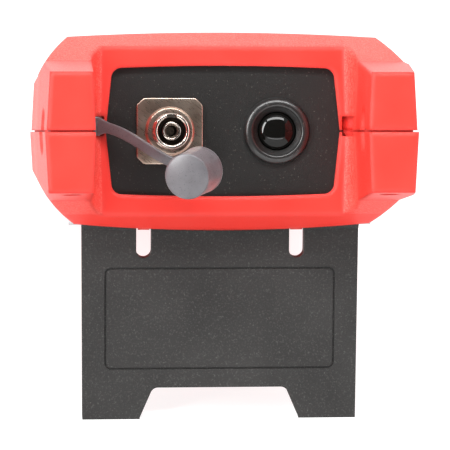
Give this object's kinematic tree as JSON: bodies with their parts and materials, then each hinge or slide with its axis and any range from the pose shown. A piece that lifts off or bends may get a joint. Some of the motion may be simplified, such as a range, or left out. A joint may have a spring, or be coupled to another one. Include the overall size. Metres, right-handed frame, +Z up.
{
  "type": "handheld optical time domain reflectometer",
  "caption": "Handheld fibre tester: two-part case with port horns, threaded fibre port, inspection lamp, tethered dust cap, screen and keypad, standing on its folding bail.",
  "frame": {"origin": "centre of the footprint, on the floor under the open stand's soles and the rear pads", "axes": "+Z up, -Y from the middle towards the port end, +Y towards the foot end, +X to the right seen from the port end"},
  "size_m": [0.0842, 0.1782, 0.0863],
  "materials": {
    "red_case": "satin",
    "dark_red_seal": "matt",
    "black_panel": "fine speckled matt",
    "nickel": "satin nickel plating",
    "zirconia": "polished",
    "dark_lens": "glossy",
    "lamp_led": "clear moulded",
    "grey_silicone": "translucent matt",
    "black_bezel": "fine texture",
    "display_glass": "polished",
    "display_panel": "dark and smooth",
    "circuit_board": "solder mask",
    "black_rubber": "matt",
    "steel": "plain",
    "black_plastic": "fine texture",
    "battery_wrap": "shrink wrap",
    "module_case": "bead blasted",
    "fibre_jacket": "smooth",
    "key_rubber": "matt",
    "key_accent": "matt"
  },
  "bodies": {
    "case": {"front_housing": "red_case", "rear_housing": "red_case", "battery_cover": "red_case", "case_seal": "dark_red_seal", "end_panel": "black_panel", "lamp_board": "circuit_board", "fc_flange": "nickel", "fc_barrel": "nickel", "fc_nut": "nickel", "fc_sleeve": "zirconia", "fc_ferrule": "zirconia", "lamp_lens": "dark_lens", "lamp_led": "lamp_led", "strap_anchor": "grey_silicone", "face_bezel": "black_bezel", "display_window": "display_glass", "display_module": "display_panel", "keypad_board": "circuit_board", "key_mat": "black_rubber", "switch_domes": "steel", "stand_pins": "steel", "case_screws": "steel", "cover_screws": "steel", "battery_pack": "battery_wrap", "battery_contacts": "black_plastic", "rear_feet": "black_rubber", "main_board": "circuit_board", "shield_cans": "steel", "optical_module": "module_case", "pigtail_fibre": "fibre_jacket", "buzzer": "black_plastic", "usb_socket": "steel", "power_jack": "black_plastic"},
    "stand": {"stand_plate": "black_plastic"},
    "cap": {"dust_cap": "grey_silicone", "cap_strap": "grey_silicone"},
    "flap": {"port_flap": "black_rubber"},
    "key_soft_1": {"key_soft_1": "key_rubber"},
    "key_soft_2": {"key_soft_2": "key_rubber"},
    "key_soft_3": {"key_soft_3": "key_rubber"},
    "key_soft_4": {"key_soft_4": "key_rubber"},
    "key_enter": {"key_enter": "key_accent"},
    "key_up": {"key_up": "key_rubber"},
    "key_down": {"key_down": "key_rubber"},
    "key_left": {"key_left": "key_rubber"},
    "key_right": {"key_right": "key_rubber"},
    "key_back": {"key_back": "key_rubber"},
    "key_menu": {"key_menu": "key_rubber"},
    "key_power": {"key_power": "key_rubber"},
    "key_test": {"key_test": "key_rubber"}
  },
  "joints": [
    {"name": "stand_hinge", "type": "hinge", "parent": "case", "child": "stand", "pos_m": [0, -0.05738, 0.0442], "axis": [1, 0, 0], "range_deg": [0, 85]},
    {"name": "cap_swing", "type": "hinge", "parent": "case", "child": "cap", "pos_m": [-0.0265, -0.06128, 0.06759], "axis": [0, -0.312, -0.9501], "range_deg": [0, 30], "stiffness_Nm_per_rad": 0.004},
    {"name": "flap_hinge", "type": "hinge", "parent": "case", "child": "flap", "pos_m": [0.0397, 0.03473, 0.03816], "axis": [0, 0.9501, -0.312], "range_deg": [0, 90], "stiffness_Nm_per_rad": 0.001},
    {"name": "key_soft_1_press", "type": "slide", "parent": "case", "child": "key_soft_1", "axis": [0, -0.312, -0.9501], "range_m": [0, 0.0008], "stiffness_N_per_m": 600},
    {"name": "key_soft_2_press", "type": "slide", "parent": "case", "child": "key_soft_2", "axis": [0, -0.312, -0.9501], "range_m": [0, 0.0008], "stiffness_N_per_m": 600},
    {"name": "key_soft_3_press", "type": "slide", "parent": "case", "child": "key_soft_3", "axis": [0, -0.312, -0.9501], "range_m": [0, 0.0008], "stiffness_N_per_m": 600},
    {"name": "key_soft_4_press", "type": "slide", "parent": "case", "child": "key_soft_4", "axis": [0, -0.312, -0.9501], "range_m": [0, 0.0008], "stiffness_N_per_m": 600},
    {"name": "key_enter_press", "type": "slide", "parent": "case", "child": "key_enter", "axis": [0, -0.312, -0.9501], "range_m": [0, 0.0008], "stiffness_N_per_m": 600},
    {"name": "key_up_press", "type": "slide", "parent": "case", "child": "key_up", "axis": [0, -0.312, -0.9501], "range_m": [0, 0.0008], "stiffness_N_per_m": 600},
    {"name": "key_down_press", "type": "slide", "parent": "case", "child": "key_down", "axis": [0, -0.312, -0.9501], "range_m": [0, 0.0008], "stiffness_N_per_m": 600},
    {"name": "key_left_press", "type": "slide", "parent": "case", "child": "key_left", "axis": [0, -0.312, -0.9501], "range_m": [0, 0.0008], "stiffness_N_per_m": 600},
    {"name": "key_right_press", "type": "slide", "parent": "case", "child": "key_right", "axis": [0, -0.312, -0.9501], "range_m": [0, 0.0008], "stiffness_N_per_m": 600},
    {"name": "key_back_press", "type": "slide", "parent": "case", "child": "key_back", "axis": [0, -0.312, -0.9501], "range_m": [0, 0.0008], "stiffness_N_per_m": 600},
    {"name": "key_menu_press", "type": "slide", "parent": "case", "child": "key_menu", "axis": [0, -0.312, -0.9501], "range_m": [0, 0.0008], "stiffness_N_per_m": 600},
    {"name": "key_power_press", "type": "slide", "parent": "case", "child": "key_power", "axis": [0, -0.312, -0.9501], "range_m": [0, 0.0008], "stiffness_N_per_m": 600},
    {"name": "key_test_press", "type": "slide", "parent": "case", "child": "key_test", "axis": [0, -0.312, -0.9501], "range_m": [0, 0.0008], "stiffness_N_per_m": 600}
  ]
}
